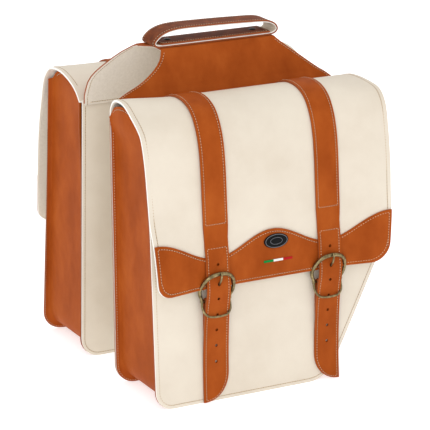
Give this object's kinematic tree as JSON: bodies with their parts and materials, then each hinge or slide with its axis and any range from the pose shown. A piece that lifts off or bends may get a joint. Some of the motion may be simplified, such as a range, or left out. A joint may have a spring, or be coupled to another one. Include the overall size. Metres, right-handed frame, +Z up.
{
  "type": "double saddle bag",
  "caption": "Pair of leather carrier bags joined by a saddle-shaped bridge with a carry handle, each with a strapped flap and heel cut-out.",
  "frame": {"origin": "centre of the footprint, on the floor under the bags", "axes": "+X along the bags towards the heel cut-outs, +Y from the right bag to the left bag, +Z up"},
  "size_m": [0.358, 0.393, 0.4795],
  "materials": {
    "cream_leather": "smooth vegetable-tanned leather, cream finish",
    "tan_leather": "smooth tan leather, semi-matt",
    "black_board": "black fibre stiffener board",
    "grey_textile": "grey-beige textile backing",
    "old_brass": "antiqued brass, brushed highlights",
    "black_enamel": "black enamel",
    "woven_ribbon": "woven ribbon"
  },
  "bodies": {
    "bridge": {"bridge_cover": "tan_leather", "bridge_lining": "grey_textile", "base_strip": "tan_leather", "rear_stud": "black_enamel", "front_stud": "black_enamel", "handle_strap": "tan_leather", "handle_lining": "cream_leather"},
    "right_bag": {"right_back_panel": "cream_leather", "right_stiffener_board": "black_board", "right_front_panel": "cream_leather", "right_gusset": "tan_leather", "right_flap_root": "cream_leather", "right_rear_chape": "tan_leather", "right_front_chape": "tan_leather"},
    "right_flap": {"right_flap_cover": "cream_leather", "right_flap_lining": "grey_textile", "right_hem_band": "tan_leather", "right_rear_strap": "tan_leather", "right_front_strap": "tan_leather", "right_rear_strap_tail": "tan_leather", "right_front_strap_tail": "tan_leather", "right_badge": "black_enamel", "right_woven_label": "woven_ribbon"},
    "right_rear_buckle": {"right_rear_buckle_frame": "old_brass"},
    "right_rear_prong": {"right_rear_buckle_prong": "old_brass"},
    "right_front_buckle": {"right_front_buckle_frame": "old_brass"},
    "right_front_prong": {"right_front_buckle_prong": "old_brass"},
    "left_bag": {"left_back_panel": "cream_leather", "left_stiffener_board": "black_board", "left_front_panel": "cream_leather", "left_gusset": "tan_leather", "left_flap_root": "cream_leather", "left_rear_chape": "tan_leather", "left_front_chape": "tan_leather"},
    "left_flap": {"left_flap_cover": "cream_leather", "left_flap_lining": "grey_textile", "left_hem_band": "tan_leather", "left_rear_strap": "tan_leather", "left_front_strap": "tan_leather", "left_rear_strap_tail": "tan_leather", "left_front_strap_tail": "tan_leather"},
    "left_rear_buckle": {"left_rear_buckle_frame": "old_brass"},
    "left_rear_prong": {"left_rear_buckle_prong": "old_brass"},
    "left_front_buckle": {"left_front_buckle_frame": "old_brass"},
    "left_front_prong": {"left_front_buckle_prong": "old_brass"}
  },
  "joints": [
    {"name": "right_bag_swing", "type": "hinge", "parent": "bridge", "child": "right_bag", "pos_m": [0, -0.05185, 0.3723], "axis": [-1, 0, 0], "range_deg": [-6, 12]},
    {"name": "right_flap_lift", "type": "hinge", "parent": "right_bag", "child": "right_flap", "pos_m": [0, -0.07187, 0.40027], "axis": [-1, 0, 0], "range_deg": [0, 105], "deforming": ["right_rear_strap_tail", "right_front_strap_tail"]},
    {"name": "right_rear_buckle_tilt", "type": "hinge", "parent": "right_bag", "child": "right_rear_buckle", "pos_m": [-0.086, -0.179, 0.145], "axis": [1, 0, 0], "range_deg": [0, 16]},
    {"name": "right_rear_prong_turn", "type": "hinge", "parent": "right_rear_buckle", "child": "right_rear_prong", "pos_m": [-0.086, -0.179, 0.145], "axis": [1, 0, 0], "range_deg": [0, 65]},
    {"name": "right_front_buckle_tilt", "type": "hinge", "parent": "right_bag", "child": "right_front_buckle", "pos_m": [0.086, -0.179, 0.145], "axis": [1, 0, 0], "range_deg": [0, 16]},
    {"name": "right_front_prong_turn", "type": "hinge", "parent": "right_front_buckle", "child": "right_front_prong", "pos_m": [0.086, -0.179, 0.145], "axis": [1, 0, 0], "range_deg": [0, 65]},
    {"name": "left_bag_swing", "type": "hinge", "parent": "bridge", "child": "left_bag", "pos_m": [0, 0.05185, 0.3723], "axis": [1, 0, 0], "range_deg": [-6, 12]},
    {"name": "left_flap_lift", "type": "hinge", "parent": "left_bag", "child": "left_flap", "pos_m": [0, 0.07187, 0.40027], "axis": [1, 0, 0], "range_deg": [0, 105], "deforming": ["left_rear_strap_tail", "left_front_strap_tail"]},
    {"name": "left_rear_buckle_tilt", "type": "hinge", "parent": "left_bag", "child": "left_rear_buckle", "pos_m": [-0.086, 0.179, 0.145], "axis": [-1, 0, 0], "range_deg": [0, 16]},
    {"name": "left_rear_prong_turn", "type": "hinge", "parent": "left_rear_buckle", "child": "left_rear_prong", "pos_m": [-0.086, 0.179, 0.145], "axis": [-1, 0, 0], "range_deg": [0, 65]},
    {"name": "left_front_buckle_tilt", "type": "hinge", "parent": "left_bag", "child": "left_front_buckle", "pos_m": [0.086, 0.179, 0.145], "axis": [-1, 0, 0], "range_deg": [0, 16]},
    {"name": "left_front_prong_turn", "type": "hinge", "parent": "left_front_buckle", "child": "left_front_prong", "pos_m": [0.086, 0.179, 0.145], "axis": [-1, 0, 0], "range_deg": [0, 65]}
  ],
  "couplings": [
    {"joint": "right_rear_buckle_tilt", "follows": "right_flap_lift", "ratio": 0.15},
    {"joint": "right_rear_prong_turn", "follows": "right_flap_lift", "ratio": 0.6},
    {"joint": "right_front_buckle_tilt", "follows": "right_flap_lift", "ratio": 0.15},
    {"joint": "right_front_prong_turn", "follows": "right_flap_lift", "ratio": 0.6},
    {"joint": "left_rear_buckle_tilt", "follows": "left_flap_lift", "ratio": 0.15},
    {"joint": "left_rear_prong_turn", "follows": "left_flap_lift", "ratio": 0.6},
    {"joint": "left_front_buckle_tilt", "follows": "left_flap_lift", "ratio": 0.15},
    {"joint": "left_front_prong_turn", "follows": "left_flap_lift", "ratio": 0.6}
  ]
}
